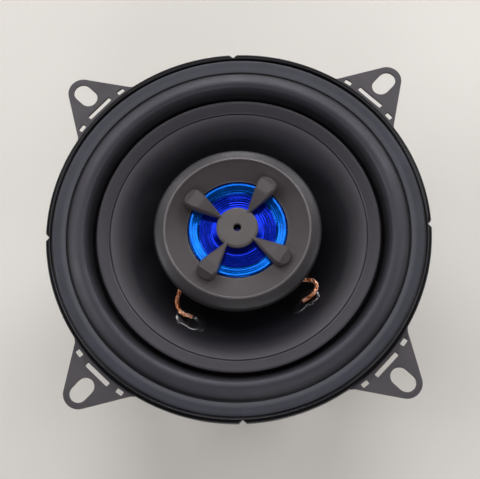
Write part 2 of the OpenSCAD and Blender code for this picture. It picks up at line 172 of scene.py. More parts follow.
def circle(x, y, r, steps=32):
    return [(x + r * cos(a), y + r * sin(a)) for a in even_angles(steps)]


def stadium(x, y, length, width, steps=10):
    """Outline of a slot along X with round ends about (x, y)."""
    out = []
    for side in (1, -1):
        for k in range(steps + 1):
            a = -pi / 2 + pi * k / steps
            out.append((x + side * ((length - width) / 2 + width / 2 * cos(a)),
                        y + side * width / 2 * sin(a)))
    return out


def tube_frames(path):
    """A point, a normal and a second normal for each point of a path, carried along without twist."""
    rows, normal = [], None
    for i, p in enumerate(path):
        ahead = (path[min(i + 1, len(path) - 1)] - path[max(i - 1, 0)]).normalized()
        if normal is None:
            normal = Vector((1, 0, 0)) if abs(ahead.z) > 0.9 else Vector((0, 0, 1))
        normal = (normal - ahead * normal.dot(ahead)).normalized()
        rows.append((p, normal, ahead.cross(normal)))
    return rows


# -------- mesh helpers

def add(name, data):
    """New object in the scene."""
    obj = bpy.data.objects.new(name, data)
    bpy.context.scene.collection.objects.link(obj)
    return obj


def new_mesh(name, verts, faces):
    """Object from points in mm and faces."""
    mesh = bpy.data.meshes.new(name)
    mesh.from_pydata([(x * MM, y * MM, z * MM) for x, y, z in verts], [], faces)
    mesh.validate()
    return add(name, mesh)


def evaluated_mesh(obj):
    """The object's mesh as its curve settings or modifiers make it."""
    bpy.context.view_layer.update()
    return bpy.data.meshes.new_from_object(obj.evaluated_get(bpy.context.evaluated_depsgraph_get()))


def soften(obj, degrees=35):
    """Smooth shading, with creases sharper than the angle kept."""
    obj.data.shade_smooth()
    obj.data.set_sharp_from_angle(angle=radians(degrees))
    return obj


def flatten_shading(obj):
    """Lets a piece's large faces set its shading, so that they look flat beside their narrow bevels."""
    obj.modifiers.new("flat_faces", "WEIGHTED_NORMAL").keep_sharp = True
    return obj


def band(a, b, count, closed=True, flip=False):
    """Faces between two rows of as many points, which start at a and at b."""
    faces = []
    for k in range(count if closed else count - 1):
        m = (k + 1) % count
        faces.append([a + k, b + k, b + m, a + m] if flip else [a + k, a + m, b + m, b + k])
    return faces


def skin(verts, faces, rows, sides):
    """Adds a closed tube to the lists, from rows of (centre, normal, second normal, radius)."""
    start = len(verts)
    for p, n, m, r in rows:
        verts += [p + (n * cos(a) + m * sin(a)) * r for a in even_angles(sides)]
    faces += [list(range(start, start + sides))[::-1], list(range(len(verts) - sides, len(verts)))]
    for i in range(len(rows) - 1):
        faces += band(start + i * sides, start + (i + 1) * sides, sides)


def lathe_mesh(profile, angles, closed=True):
    """Points and faces of a profile of (r, z) turned about Z. A point at r = 0 becomes one vertex."""
    verts, rows = [], []
    for r, z in profile:
        if r < 1e-6:
            verts.append((0, 0, z))
            rows.append([len(verts) - 1] * len(angles))
        else:
            rows.append(list(range(len(verts), len(verts) + len(angles))))
            verts += [(r * cos(a), r * sin(a), z) for a in angles]
    faces = []
    for i in range(len(profile) if closed else len(profile) - 1):
        low, high = rows[i], rows[(i + 1) % len(profile)]
        for k in range(len(angles)):
            m = (k + 1) % len(angles)
            loop = list(dict.fromkeys((low[k], low[m], high[m], high[k])))
            if len(loop) > 2:
                faces.append(loop)
    return verts, faces


def lathe(name, profile, segments=192, crease=35):
    """Solid of revolution of a closed profile, which runs anticlockwise seen with r to the right."""
    return soften(new_mesh(name, *lathe_mesh(profile, even_angles(segments))), crease)


def weld(obj, distance=0.002):
    """Joins points that lie within this distance in mm, and turns the faces outwards."""
    bm = bmesh.new()
    bm.from_mesh(obj.data)
    bmesh.ops.remove_doubles(bm, verts=bm.verts, dist=distance * MM)
    bmesh.ops.recalc_face_normals(bm, faces=bm.faces)
    bm.to_mesh(obj.data)
    bm.free()
    return obj


def plate(name, outline, holes, low, high, bevel=0.12):
    """Flat plate with bevelled edges, from outlines of (x, y) in mm, between two heights."""
    curve = bpy.data.curves.new(name, "CURVE")
    curve.dimensions = "2D"
    curve.fill_mode = "BOTH"
    curve.extrude = (high - low) / 2 * MM - bevel * MM
    curve.bevel_depth = bevel * MM
    curve.bevel_resolution = 2
    curve.offset = -bevel * MM
    for loop in [outline, *holes]:
        line = curve.splines.new("POLY")
        line.points.add(len(loop) - 1)
        for point, (x, y) in zip(line.points, loop):
            point.co = (x * MM, y * MM, 0, 1)
        line.use_cyclic_u = True
    holder = add(name + "_outline", curve)
    mesh = evaluated_mesh(holder)
    bpy.data.objects.remove(holder)
    bpy.data.curves.remove(curve)
    mesh.name = name
    mesh.transform(Matrix.Translation((0, 0, (low + high) / 2 * MM)))
    return soften(weld(add(name, mesh)), 30)


def placed(obj, matrix):
    """Moves the mesh itself, so that the object stays at the origin."""
    obj.data.transform(matrix)
    return obj


def turn(degrees, axis="Z"):
    return Matrix.Rotation(radians(degrees), 4, axis)


def shift(x, y, z):
    return Matrix.Translation((x * MM, y * MM, z * MM))


def upright(degrees, x, z=0):
    """Stands a plate drawn as (across, up) at this angle about the axis, x away from it and z up."""
    return turn(degrees) @ shift(x, 0, z) @ turn(90, "Z") @ turn(90, "X")


def join(name, parts):
    """One object from several, under a new name."""
    bm = bmesh.new()
    for part in parts:
        bm.from_mesh(part.data)
        bpy.data.objects.remove(part)
    mesh = bpy.data.meshes.new(name)
    bm.to_mesh(mesh)
    bm.free()
    return add(name, mesh)


def copies(obj, matrices):
    """Copies of the object at these places, in its stead."""
    made = [placed(add(obj.name, obj.data.copy()), m) for m in matrices]
    bpy.data.objects.remove(obj)
    return made


def group(name, obj, matrices):
    return soften(join(name, copies(obj, matrices)))


# -------- material helpers

MATERIALS = {}
MIX_A, MIX_B, MIX_OUT = 6, 7, 2  # the Mix node's colour sockets


def scaled(color, factor):
    return tuple(min(1.0, c * factor) for c in color)


class Surface:
    """A Principled material with nodes of its own, in the frame's own metres unless mm are named."""

    def __init__(self, name, color, roughness, metallic=0.0, **inputs):
        self.mat = MATERIALS[name] = bpy.data.materials.new(name)
        self.mat.use_nodes = True
        self.mat.diffuse_color = (*color, 1)
        self.nodes, self.links = self.mat.node_tree.nodes, self.mat.node_tree.links
        self.shader = self.nodes["Principled BSDF"]
        self.color, self.relief = color, {}
        self.put("Base Color", (*color, 1))
        self.put("Roughness", roughness)
        self.put("Metallic", metallic)
        for key, value in inputs.items():
            self.put(key.replace("_", " "), value)

    def put(self, key, value, node=None):
        """Sets an input of the shader or of another node, by a link if the value is a node's output."""
        socket = (node or self.shader).inputs[key]
        if isinstance(value, bpy.types.NodeSocket):
            self.links.new(value, socket)
        else:
            socket.default_value = value

    def node(self, kind, out, inputs, **settings):
        """One output of a new shader node of this kind, with these inputs and settings."""
        made = self.nodes.new("ShaderNode" + kind)
        for key, value in settings.items():
            setattr(made, key, value)
        for key, value in inputs.items():
            self.put(key, value, made)
        return made.outputs[out]

    def place(self):
        return self.node("TexCoord", "Object", {})

    def axis(self, letter):
        return self.node("SeparateXYZ", letter, {0: self.place()})

    def radius(self):
        """Distance from the speaker's axis."""
        flat = self.node("VectorMath", "Vector", {0: self.place(), 1: (1, 1, 0)},
                         operation="MULTIPLY")
        return self.node("VectorMath", "Value", {0: flat}, operation="LENGTH")

    def noise(self, scale, detail, stretch=None):
        """Noise from 0 to 1; stretch scales each axis first."""
        source = self.place()
        if stretch:
            source = self.node("Mapping", "Vector", {"Vector": source, "Scale": stretch})
        return self.node("TexNoise", "Fac", {"Vector": source, "Scale": scale, "Detail": detail})

    def calc(self, operation, *values):
        return self.node("Math", 0, dict(enumerate(values)), operation=operation)

    def span(self, source, low, high, start=0.3, end=0.7):
        """Maps a value from start..end to low..high."""
        return self.node("MapRange", "Result", {
            "Value": source, "From Min": start, "From Max": end, "To Min": low, "To Max": high})

    def zone(self, first, last, low=0, high=1, source=None):
        """Goes from low to high between two distances in mm, from the axis or along the source."""
        return self.span(source or self.radius(), low, high, first * MM, last * MM)

    def waves(self, source, per_metre):
        """Sine of a length, from 0 to 1."""
        return self.span(self.calc("SINE", self.calc("MULTIPLY", source, per_metre * tau)), 0, 1, -1, 1)

    def ramp(self, source, stops):
        """Colour ramp with stops of (position, colour)."""
        node = self.nodes.new("ShaderNodeValToRGB")
        while len(node.color_ramp.elements) < len(stops):
            node.color_ramp.elements.new(0.5)
        for element, (position, color) in zip(node.color_ramp.elements, stops):
            element.position = position
            element.color = (*color, 1)
        self.put("Fac", source, node)
        return node.outputs["Color"]

    def tinted(self, source, low, high):
        """The surface's colour made darker and lighter by these factors, as the source goes up."""
        return self.ramp(source, [(0.3, scaled(self.color, low)), (0.7, scaled(self.color, high))])

    def cloudy(self, scale, detail, low, high):
        return self.tinted(self.noise(scale, detail), low, high)

    def blended(self, factor, under, color):
        """A linked colour that gives way to a plain one as the factor grows from 0 to 1."""
        return self.node("Mix", MIX_OUT, {"Factor": factor, MIX_A: under, MIX_B: (*color, 1)},
                         data_type="RGBA")

    def base(self, color):
        self.put("Base Color", color)

    def rough(self, scale, detail, low, high):
        """Uneven gloss."""
        self.put("Roughness", self.span(self.noise(scale, detail), low, high))

    def bump(self, source, depth, strength=1.0):
        """Relief of this depth in mm from a 0..1 value, on top of any relief made before."""
        self.relief["Normal"] = self.node("Bump", "Normal", {
            "Strength": strength, "Distance": depth * MM, "Height": source, **self.relief})
        self.put("Normal", self.relief["Normal"])

    def grain(self, scale, detail, depth):
        self.bump(self.noise(scale, detail), depth)


def moulded(name, color, roughness, mottle=0.12, grain=0.03, grain_scale=2600, spread=0.08):
    """Moulded or painted surface: cloudy colour, uneven gloss and a fine grain."""
    s = Surface(name, color, roughness)
    s.base(s.cloudy(70, 5, 1 - mottle, 1 + mottle))
    s.rough(217, 4, roughness - spread, roughness + spread)
    s.grain(grain_scale, 2, grain)
    return s


def turned_metal(name, color, roughness, ring_scale=2500):
    """Plated metal with faint turning marks about the axis."""
    s = Surface(name, color, roughness, 1.0)
    s.base(s.cloudy(160, 6, 0.9, 1.1))
    s.rough(420, 5, roughness - 0.1, roughness + 0.12)
    s.grain(3000, 2, 0.004)
    s.bump(s.waves(s.radius(), ring_scale), 0.004, 0.6)


# -------- materials

def basket_paint():
    """Satin dark grey paint, with a thick glossy black coat on the rim's bead."""
    s = Surface("basket_paint", (0.075, 0.068, 0.074), 0.42, Specular_IOR_Level=0.35)
    ring = s.calc("MULTIPLY", s.zone(BEAD_IN - 0.4, BEAD_IN - 0.3),
                  s.zone(FLANGE_R + 0.02, FLANGE_R + 0.12, 1, 0))
    bead = s.calc("MULTIPLY", ring, s.zone(SHEET + 0.02, SHEET + 0.1, source=s.axis("Z")))
    s.base(s.blended(bead, s.cloudy(120, 5, 0.86, 1.14), (0.004, 0.004, 0.005)))
    satin = s.span(s.noise(300, 4), 0.36, 0.5)
    s.put("Roughness", s.node("Mix", "Result", {"Factor": bead, "A": satin, "B": 0.24}))
    s.grain(1500, 2, 0.01)


def gasket_rubber():
    """Grainy rubber, painted paler along its inner edge as a painted highlight."""
    s = Surface("gasket_rubber", (0.034, 0.036, 0.049), 0.6, Specular_IOR_Level=0.5)
    # painted highlight: the inner edge is painted paler, standing in for the light that its rounded edge
    # catches
    edge = s.zone(GASKET_IN + 0.4, GASKET_IN + 1.6, 1, 0)
    s.base(s.blended(edge, s.cloudy(90, 6, 0.82, 1.2), (0.082, 0.084, 0.1)))
    s.rough(260, 4, 0.52, 0.66)
    s.grain(3800, 2, 0.02)
    s.grain(500, 3, 0.05)


def surround_rubber():
    """Black rubber, painted near black down in the valleys on the roll's two sides as painted shade."""
    # painted shade: near-black colour for the valleys on both sides of the roll, where shade falls
    painted_valley_shade = (0.006, 0.0055, 0.007)
    s = Surface("surround_rubber", (0.05, 0.048, 0.06), 0.5, Specular_IOR_Level=0.35)
    tint = s.blended(s.zone(ROLL_OUT - 1.6, ROLL_OUT - 0.1), s.cloudy(70, 5, 0.9, 1.1), painted_valley_shade)
    s.base(s.blended(s.zone(ROLL_IN + 1.1, ROLL_IN + 2.4, 1, 0), tint, painted_valley_shade))
    s.rough(220, 4, 0.45, 0.56)
    s.grain(3000, 2, 0.012)


def cone_plastic():
    """Semi-gloss black cone, painted near black deep down and greyer towards its rim as painted shade and
    light, with faint rings left by its mould.
    """
    rim, lip = (0.081, 0.0745, 0.085), (0.052, 0.0475, 0.056)
    s = Surface("cone_plastic", lip, 0.4, Specular_IOR_Level=0.35)
    # painted shade and light: the ramp runs from near black deep in the cone, in the housing's shade, to grey
    # at the flatter, lit rim
    share = s.calc("ADD", s.zone(26, 36), s.span(s.noise(60, 6), -0.03, 0.03))
    s.base(s.ramp(share, [(0.0, (0.0055, 0.0052, 0.0078)), (0.12, (0.008, 0.0078, 0.0112)),
                          (0.3, (0.0138, 0.013, 0.0176)), (0.55, scaled(rim, 0.46)), (0.78, rim),
                          (0.86, lip)]))
    s.rough(140, 6, 0.36, 0.46)
    s.grain(2200, 3, 0.008)
    s.bump(s.waves(s.radius(), 1600), 0.0015, 0.5)


def spider_cloth():
    """Resin-treated weave."""
    s = Surface("spider_cloth", (0.5, 0.36, 0.13), 0.8, Sheen_Weight=0.3)
    s.base(s.cloudy(150, 5, 0.75, 1.15))
    s.bump(s.calc("MULTIPLY", s.waves(s.axis("X"), 1800), s.waves(s.axis("Y"), 1800)), 0.08)


def copper_winding():
    """Lacquered wire, one ring per turn."""
    s = Surface("copper_winding", (0.62, 0.24, 0.09), 0.3, 1.0, Coat_Weight=0.5)
    turns = s.waves(s.axis("Z"), 4000)
    s.base(s.ramp(turns, [(0.0, scaled(s.color, 0.5)), (1.0, s.color)]))
    s.bump(turns, 0.06)


def copper_braid():
    s = Surface("copper_braid", (0.8, 0.34, 0.16), 0.34, 0.75)
    s.base(s.ramp(s.noise(700, 4), [(0.34, (0.24, 0.05, 0.01)), (0.5, s.color), (0.62, (1.0, 0.66, 0.5))]))
    s.rough(900, 3, 0.25, 0.45)


def lead_adhesive():
    s = Surface("lead_adhesive", (0.014, 0.014, 0.016), 0.2, Specular_IOR_Level=0.9, Coat_Weight=0.9,
                Coat_Roughness=0.16)
    s.rough(500, 4, 0.14, 0.32)
    s.grain(700, 3, 0.03)


def ferrite():
    """Grey ceramic with grinding marks and small pits."""
    s = Surface("ferrite", (0.06, 0.06, 0.064), 0.6)
    s.base(s.ramp(s.noise(240, 8), [(0.3, scaled(s.color, 0.7)), (0.6, s.color),
                                    (0.8, scaled(s.color, 1.35))]))
    s.rough(320, 5, 0.45, 0.75)
    s.bump(s.span(s.noise(900, 2), 0, 1, 0.3, 0.42), 0.03, 0.7)
    s.bump(s.noise(300, 4, (1, 1, 14)), 0.03, 0.6)


def phenolic_board():
    """Brown paper board with short fibres."""
    s = Surface("phenolic_board", (0.26, 0.13, 0.05), 0.5, Specular_IOR_Level=0.5)
    fibres = s.noise(500, 6, (1, 1, 5))
    s.base(s.tinted(fibres, 0.7, 1.25))
    s.bump(fibres, 0.03)


def housing_plastic():
    """Moulded black-brown plastic, with a painted highlight that greys the shoulder towards the face and a
    brighter painted highlight along the thin lip round it.
    """
    s = Surface("housing_plastic", (0.017, 0.0155, 0.0165), 0.44, Specular_IOR_Level=0.42)
    # painted highlight: the shoulder is painted greyer towards the face
    painted_shoulder_highlight = s.zone(FACE_R + 0.3, HOUSING_R - 0.2, 1, 0)
    tint = s.blended(painted_shoulder_highlight, s.cloudy(70, 5, 0.95, 1.05), (0.038, 0.0345, 0.036))
    # painted highlight: a thin light ring painted along the top of the lip
    lip = s.calc("MULTIPLY", s.zone(FACE_R - 0.4, FACE_R - 0.2), s.zone(FACE_R + 0.15, FACE_R + 0.45, 1, 0))
    painted_lip_highlight = s.calc("MULTIPLY", lip, s.zone(HOUSING_TOP - 0.5, HOUSING_TOP - 0.3, source=s.axis("Z")))
    s.base(s.blended(painted_lip_highlight, tint, (0.15, 0.136, 0.135)))
    s.rough(210, 4, 0.4, 0.48)
    s.grain(2200, 2, 0.03)


def face_plastic():
    """Moulded brown-black plastic, with the flat middle disc painted greyer as a painted highlight."""
    s = moulded("face_plastic", (0.061, 0.051, 0.051), 0.36, 0.05, grain_scale=2200, spread=0.04)
    plain = s.shader.inputs["Base Color"].links[0].from_socket
    # painted highlight: the middle disc is painted greyer than the rest of the face
    s.base(s.blended(s.zone(DISC_R - 0.2, DISC_R + 0.2, 1, 0), plain, (0.094, 0.082, 0.078)))


def blue_film():
    """Metallised blue film with fine pressed rings; its middle under the disc, a ring before its rolled rim
    and its edge under the face are painted dark as painted shade, and the rolled rim is painted brightest as
    a painted highlight.
    """
    painted_shade_navy, mid, light = (0.0008, 0.002, 0.06), (0.0005, 0.018, 0.46), (0.001, 0.12, 0.6)
    s = Surface("blue_film", mid, 0.2, 0.78, Specular_IOR_Level=0.1, Coat_Weight=0.08, Coat_Roughness=0.08)
    share = s.calc("MULTIPLY_ADD", s.noise(300, 3), 0.03, s.zone(0, 13.6))
    # painted shade at the middle, before the rim and at the outer edge; painted highlight on the rolled rim
    s.base(s.ramp(share, [(0.0, painted_shade_navy), (0.3, painted_shade_navy), (0.42, mid), (0.6, mid), (0.75, scaled(mid, 0.8)),
                          (0.79, light), (0.94, light), (0.985, painted_shade_navy)]))
    s.rough(300, 4, 0.12, 0.26)
    s.bump(s.node("TexNoise", "Fac", {"W": s.radius(), "Scale": 1500, "Detail": 2},
                  noise_dimensions="1D"), 0.05)
    s.grain(150, 2, 0.12)


for dress in (basket_paint, gasket_rubber, surround_rubber, cone_plastic, spider_cloth, copper_winding,
              lead_adhesive, ferrite, copper_braid, phenolic_board, housing_plastic, face_plastic, blue_film):
    dress()
turned_metal("rivet_steel", (0.6, 0.6, 0.6), 0.34)
turned_metal("eyelet_brass", (0.78, 0.57, 0.24), 0.26)
turned_metal("plated_steel", (0.56, 0.57, 0.58), 0.36)
turned_metal("tinned_tab", (0.72, 0.7, 0.64), 0.3, 900)
turned_metal("fastener_steel", (0.72, 0.71, 0.68), 0.24)
turned_metal("neodymium", (0.66, 0.65, 0.62), 0.18)
moulded("coil_former", (0.5, 0.27, 0.08), 0.35, 0.15, 0.01)
moulded("post_plastic", (0.025, 0.025, 0.026), 0.5)
moulded("capacitor_sleeve", (0.02, 0.06, 0.2), 0.28, grain=0.008)
moulded("wire_red", (0.36, 0.02, 0.02), 0.42, grain=0.01)


# -------- pieces and their bodies

def finished(obj, slot, *nodes, body="chassis"):
    """Gives a piece the material named by the slot, puts it under its body and hides the CAD nodes that it
    stands for. A piece with no body is left unattached."""
    obj.data.materials.clear()
    obj.data.materials.append(MATERIALS[slot])
    if body:
        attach(obj, body)
    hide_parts(*nodes)
    return obj


def round_part(name, node, slot, profile, segments=160, body="chassis", crease=35):
    return finished(lathe(name, profile, segments, crease), slot, node, body=body)


def sleeve(name, node, slot, r_in, r_out, edge, segments=160, body="chassis"):
    """Plain ring as high as its CAD node."""
    profile = rectangle(r_in, r_out, *heights(node), edge)
    return round_part(name, node, slot, profile, segments, body)


def bends(obj):
    """Bakes the piece's placement into its mesh."""
    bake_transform(obj)


def bends_round(obj):
    """Bakes a round piece's placement into its mesh, the same as bends."""
    bends(obj)


# -------- basket

WINDOWS = 8
SECTOR_STEPS, WINDOW_ROWS, RIM_RINGS = 48, 14, 3
WINDOW_HALF_DEG = 14
WINDOW_IN, WINDOW_OUT = 31.5, 42.0
WINDOW_POWER = 7
NOTCH_DEPTH, NOTCH_HALF_DEG = 1.0, 1.12
SLOPES = ((Vector((LEDGE_OUT, LEDGE_Z)), Vector((WALL_R, WALL_Z))),
          (Vector((LEDGE_OUT + 0.5, LEDGE_Z - SHEET)), Vector((WALL_R + 1, WALL_Z - 0.5))))


def basket_angles():
    """Angles of the basket's columns, with the ones beside each rim notch moved to its two edges."""
    step = 360 / (WINDOWS * SECTOR_STEPS)
    out = []
    for k in range(WINDOWS * SECTOR_STEPS):
        degrees = 360 * k / (WINDOWS * SECTOR_STEPS)
        from_notch = degrees % 90 - 45
        if abs(abs(from_notch) - step) < 1e-6:
            degrees += copysign(NOTCH_HALF_DEG - step, from_notch)
        out.append(radians(degrees))
    return out


def slope_point(share, side):
    """Point (r, z) on the basket's sloping wall, from its foot to its top, on the front (0) or back (1)."""
    return SLOPES[side][0].lerp(SLOPES[side][1], share)


def window_loops():
    """Rings of (degrees, share of the slope) from a sector's edge to its window's edge."""
    low, high = ((r - LEDGE_OUT) / (WALL_R - LEDGE_OUT) for r in (WINDOW_IN, WINDOW_OUT))
    edge = []
    for x, y, dx, dy, steps in ((-1, -1, 2, 0, SECTOR_STEPS), (1, -1, 0, 2, WINDOW_ROWS),
                                (1, 1, -2, 0, SECTOR_STEPS), (-1, 1, 0, -2, WINDOW_ROWS)):
        edge += [(x + dx * k / steps, y + dy * k / steps) for k in range(steps)]
    loops = []
    for ring in range(RIM_RINGS + 1):
        loop = []
        for x, y in edge:
            size = (abs(x) ** WINDOW_POWER + abs(y) ** WINDOW_POWER) ** (1 / WINDOW_POWER)
            whole = (x * 180 / WINDOWS, (y + 1) / 2)
            hole = (x / size * WINDOW_HALF_DEG, (high + low) / 2 + y / size * ((high - low) / 2))
            loop.append([a + (b - a) * (ring / RIM_RINGS) for a, b in zip(whole, hole)])
        loops.append(loop)
    return loops


def basket_wall():
    """Sloping wall with its windows, front and back, joined round the windows' edges."""
    loops = window_loops()
    count = len(loops[0])
    back = count * len(loops)
    verts, faces = [], []
    for w in range(WINDOWS):
        start, middle = len(verts), 360 * (w + 0.5) / WINDOWS
        for side in (0, 1):
            for degrees, share in sum(loops, []):
                r, z = slope_point(share, side)
                a = radians(middle + degrees)
                verts.append((r * cos(a), r * sin(a), z))
        rim = start + back - count
        for a in range(start, rim, count):
            faces += band(a, a + count, count) + band(back + a, back + a + count, count, flip=True)
        faces += band(rim, back + rim, count)
    return new_mesh("basket_wall", verts, faces)


def basket_strip(name, path):
    """Part of the basket turned from an open path, with the V notches cut where it reaches the rim."""
    verts, faces = lathe_mesh(path, basket_angles(), closed=False)
    for i, (x, y, z) in enumerate(verts):
        r = hypot(x, y)
        from_notch = abs(math.degrees(atan2(y, x)) % 90 - 45)
        limit = FLANGE_R - NOTCH_DEPTH * max(0.0, 1 - from_notch / NOTCH_HALF_DEG)
        if r > limit:
            verts[i] = (x * limit / r, y * limit / r, z)
    return new_mesh(name, verts, faces)


def ear_outline():
    """Ear that points along +X: a round tip and two straight sides that run to the flange."""
    tip_r, tip_x = 4.0, EAR_TIP - 4.0
    base_x, base_half = 50.6, 10.2
    root_x, root_half = base_x - 1.2, base_half + 1.4
    away = Vector((base_x - tip_x, base_half))
    limit = atan2(away.y, away.x) - acos(tip_r / away.length)
    turns = [limit * k / 12 for k in range(-12, 13)]
    tip = [(tip_x + tip_r * cos(a), tip_r * sin(a)) for a in turns]
    return tip + [(base_x, base_half), (root_x, root_half), (root_x, -root_half), (base_x, -base_half)]


def ears():
    """Four ears, each with a screw slot, a long slit across it and a short slit on each side."""
    holes = [stadium(58, 0, 7.2, 4.8), rectangle(51.8, 53, -4, 4, 0.3)]
    for s in (-1, 1):
        spin = Matrix.Rotation(radians(s * 9), 2)
        corners = [spin @ Vector(c) for c in ((-0.6, -1), (0.6, -1), (0.6, 1), (-0.6, 1))]
        moved = [p + Vector((51.7, s * 7.4)) for p in corners]
        holes.append(fillet([(p.x, p.y, 0.25) for p in moved], 3))
    ear = plate("ear", ear_outline(), holes, 0.02, SHEET - 0.02, 0.14)
    return copies(ear, [turn(a) for a in QUARTERS])


def bead_corner(r, z, start):
    """Quarter of the bead's rounded top, from this many degrees on."""
    turns = [radians(d) for d in range(start, start + 91, 15)]
    return [(r + cos(a) * 0.35, z + sin(a) * 0.4) for a in turns]


def basket():
    outside = [slope_point(1, 1), *off(WALL_R, 0, [(1, WALL_Z + 0.6), (1, -0.5), (1.15, -0.15), (1.5, 0)]),
               *off(FLANGE_R, 0, [(-0.3, 0), (-0.08, 0.08), (0, 0.3)])]
    bead = bead_corner(FLANGE_R - 0.35, BEAD_TOP - 0.5, 0)
    bead += off(FLANGE_R, BEAD_TOP, [(-0.65, -0.02), (-0.9, 0)])
    bead += bead_corner(BEAD_IN + 0.35, BEAD_TOP - 0.4, 90)
    inside = off(BEAD_IN, SHEET, [(0, 0.12), (-0.12, 0)])
    inside += off(WALL_R, SHEET, [(0.9, 0), (0.35, -0.1), (0.1, -0.35), (0, -0.9)])
    inside += [(WALL_R, WALL_Z + 0.6), slope_point(1, 0)]
    seat_top = SEAT_Z + SHEET
    front = [slope_point(0, 0), (LEDGE_OUT - 0.4, LEDGE_Z)]
    front += off(LEDGE_IN, LEDGE_Z, [(0.3, 0), (-0.02, -0.25)])
    front += off(SEAT_OUT, seat_top, [(0.1, 0.3), (-0.3, 0)]) + off(SEAT_IN, seat_top, [(0.2, 0), (0, -0.2)])
    back = off(SEAT_IN, SEAT_Z, [(0, 0.2), (0.2, 0)]) + off(SEAT_OUT, SEAT_Z, [(0.7, 0), (1, 0.3)])
    back += off(LEDGE_IN, LEDGE_Z - SHEET, [(0.75, -0.3), (1.1, 0)])
    back += [(LEDGE_OUT, LEDGE_Z - SHEET), slope_point(0, 1)]
    pad = plate("pad", rectangle(-9, 9, 0, 4.8, 1.5, 4), [], 0, 2, 0.2)
    placed(pad, upright(TERMINAL_ANGLE, WALL_R - 0.9, WALL_Z + 0.2))
    body = join("basket_body", [basket_wall(), basket_strip("basket_upper", outside + bead + inside),
                                basket_strip("basket_lower", front + back)])
    whole = join("basket_shell", [weld(body, 0.01), *ears(), pad])
    finished(flatten_shading(soften(whole, 32)), "basket_paint", "basket")


# -------- gasket, surround, cone, spider

def front_gasket():
    outer = off(GASKET_OUT, GASKET_TOP, [(0, -0.3, 0.2), (-0.4, -0.02, 0.25)])
    inner = off(GASKET_IN, GASKET_TOP, [(0.9, 0, 0.5), (0, -0.3, 0.35)])
    profile = fillet([(GASKET_IN, GASKET_LOW), (GASKET_OUT, GASKET_LOW), *outer, *inner])
    round_part("gasket_ring", "front_gasket", "gasket_rubber", profile, 256)


def roll(offset):
    """Roll of the surround at a distance from its middle line: a steep inner wall and a round outer side."""
    wall = off(ROLL_IN, 0, [(0, -2.0), (0.7, -0.7), (1.4, 0.75), (2, 1.95)])
    crown = off(ROLL_IN, ROLL_TOP, [(2.5, -0.72), (3, -0.36), (3.6, -0.26), (4.4, -0.54), (5.4, -1.16),
                                    (6.3, -1.66)])
    middle = spline([*wall, *crown, (ROLL_OUT, SHEET + 0.25)], 4)
    out = []
    for i, p in enumerate(middle):
        ahead = (middle[min(i + 1, len(middle) - 1)] - middle[max(i - 1, 0)]).normalized()
        out.append((p.x - ahead.y * offset, p.y + ahead.x * offset))
    return out


def surround():
    half = 0.25
    front = off(CONE_R, 0, [(-2, -0.5), (-0.1, -0.45), (0.06, -0.7), (0.12, -1.7)]) + roll(half)[1:-1]
    front += [(ROLL_OUT + 0.3, SHEET + 0.48), (GASKET_IN + 0.5, SHEET + 0.45), (GASKET_OUT, SHEET + 0.45)]
    back = [(GASKET_OUT, SHEET + 0.03), (ROLL_OUT - 0.3, SHEET + 0.03)] + roll(-half)[-3::-1]
    back += off(CONE_R, 0, [(-0.2, -2), (-0.5, -0.95), (-2, -0.9)])
    piece = round_part("surround_roll", "surround", "surround_rubber", (front + back)[::-1], 256, None, 60)
    bends_round(piece)


def cone():
    steps = 40
    groove = LIP_IN - 0.24
    flare = [(r, cone_z(r)) for r in (NECK_R + (groove - NECK_R) * k / (steps - 1) for k in range(steps))]
    lip = off(LIP_IN, LIP_TOP, [(-0.24, -1.7), (-0.02, -1.7), (0.02, -0.95), (0.16, -0.8), (0.5, -0.66)])
    lip += off(CONE_R, LIP_TOP, [(-0.9, -0.05), (-0.5, 0), (-0.15, -0.06), (0, -0.3), (0, -0.75)])
    under = off(LIP_IN, LIP_TOP, [(0.9, -1.3), (0.3, -2)])
    back = [(r, z - CONE_T) for r, z in flare[::-1] if r < LIP_IN - 0.9]
    round_part("cone_body", "cone", "cone_plastic", (flare + lip + under + back)[::-1], 256, CONE, 28)


def spider():
    first, last = NECK_R + 0.9, LEDGE_IN - 0.4
    ripples, steps, half = 5, 12, 0.12
    count = ripples * steps
    middle = [(NECK_R + 0.02, 0.3), (first, 0.3)]
    middle += [(first + (last - first) * k / count, 0.3 + 0.55 * sin(tau * k / steps))
               for k in range(1, count)]
    middle += [(last, 0.3), (LEDGE_IN + 0.2, 0.2), (LEDGE_OUT - 0.8, 0.2)]
    front, back = ([(r, z + LEDGE_Z + side) for r, z in middle] for side in (half, -half))
    piece = round_part("spider_disc", "spider", "spider_cloth", back + front[::-1], 192, None, 70)
    bends_round(piece)


# -------- round parts behind the cone

